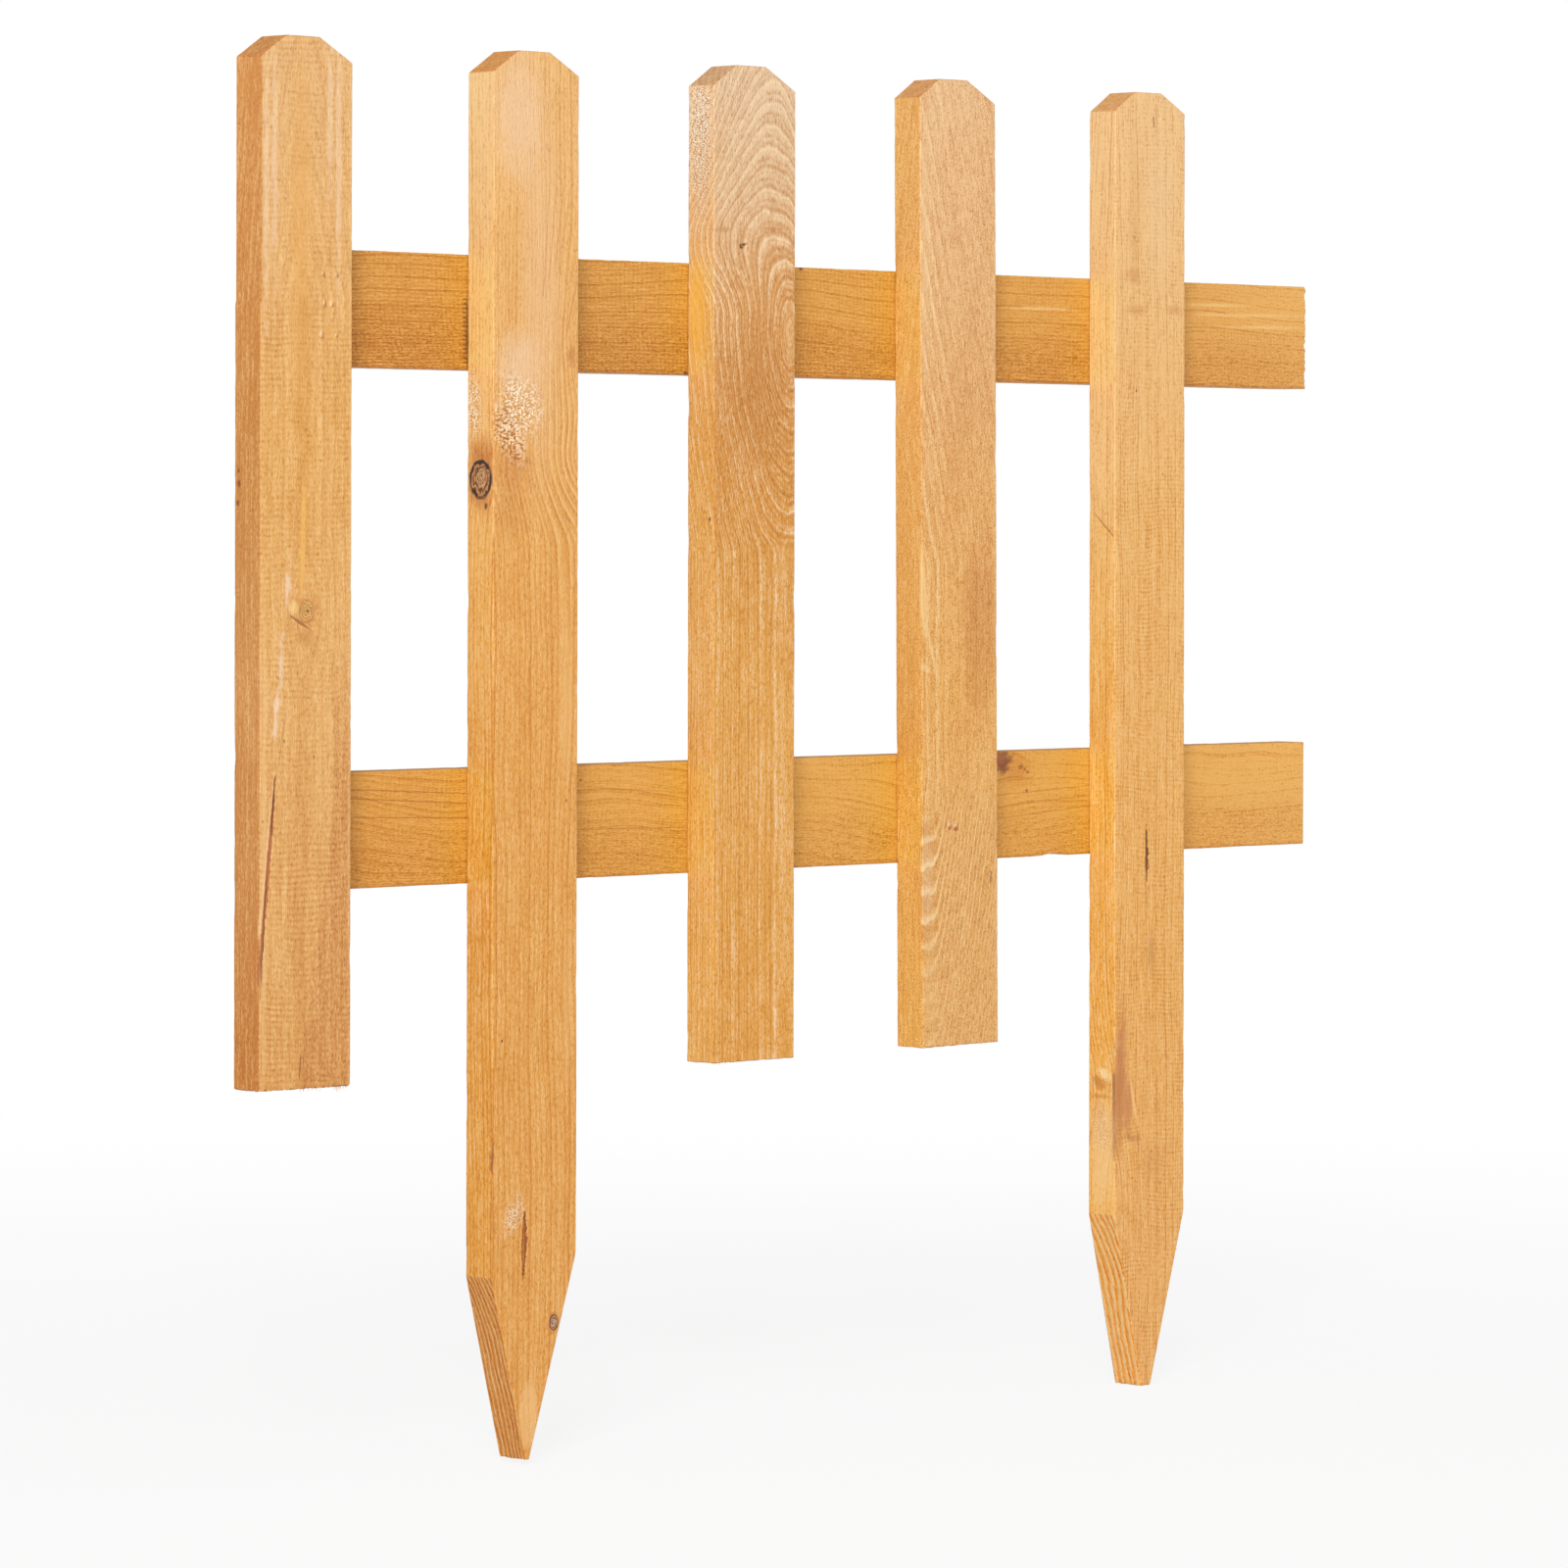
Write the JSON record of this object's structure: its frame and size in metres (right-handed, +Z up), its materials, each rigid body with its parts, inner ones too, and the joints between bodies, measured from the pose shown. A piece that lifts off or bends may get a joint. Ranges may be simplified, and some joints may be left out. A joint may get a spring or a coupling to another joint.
{
  "type": "wooden bed border fence",
  "caption": "Low picket border of stained softwood: short pickets and pointed ground stakes with clipped heads, stapled to two rails that run on to the next panel.",
  "frame": {"origin": "middle of picket 3's foot, at ground level", "axes": "+X along the fence to the rails' free ends, -Y its front with the pickets, +Z up"},
  "size_m": [0.6222, 0.03, 0.5521],
  "materials": {
    "picket_wood": "sawn softwood with a clear honey stain",
    "rail_wood": "sawn softwood with a darker honey stain",
    "staple_wire": "zinc-coated wire"
  },
  "bodies": {
    "root": {"picket_1": "picket_wood", "stake_2": "picket_wood", "picket_3": "picket_wood", "picket_4": "picket_wood", "stake_5": "picket_wood", "rail_top": "rail_wood", "rail_bottom": "rail_wood", "staple_bottom_1_upper": "staple_wire", "staple_bottom_1_middle": "staple_wire", "staple_bottom_1_lower": "staple_wire", "staple_bottom_2_upper": "staple_wire", "staple_bottom_2_middle": "staple_wire", "staple_bottom_2_lower": "staple_wire", "staple_bottom_3_upper": "staple_wire", "staple_bottom_3_middle": "staple_wire", "staple_bottom_3_lower": "staple_wire", "staple_bottom_4_upper": "staple_wire", "staple_bottom_4_middle": "staple_wire", "staple_bottom_4_lower": "staple_wire", "staple_bottom_5_upper": "staple_wire", "staple_bottom_5_middle": "staple_wire", "staple_bottom_5_lower": "staple_wire", "staple_top_1_upper": "staple_wire", "staple_top_1_middle": "staple_wire", "staple_top_1_lower": "staple_wire", "staple_top_2_upper": "staple_wire", "staple_top_2_middle": "staple_wire", "staple_top_2_lower": "staple_wire", "staple_top_3_upper": "staple_wire", "staple_top_3_middle": "staple_wire", "staple_top_3_lower": "staple_wire", "staple_top_4_upper": "staple_wire", "staple_top_4_middle": "staple_wire", "staple_top_4_lower": "staple_wire", "staple_top_5_upper": "staple_wire", "staple_top_5_middle": "staple_wire", "staple_top_5_lower": "staple_wire"}
  },
  "joints": []
}
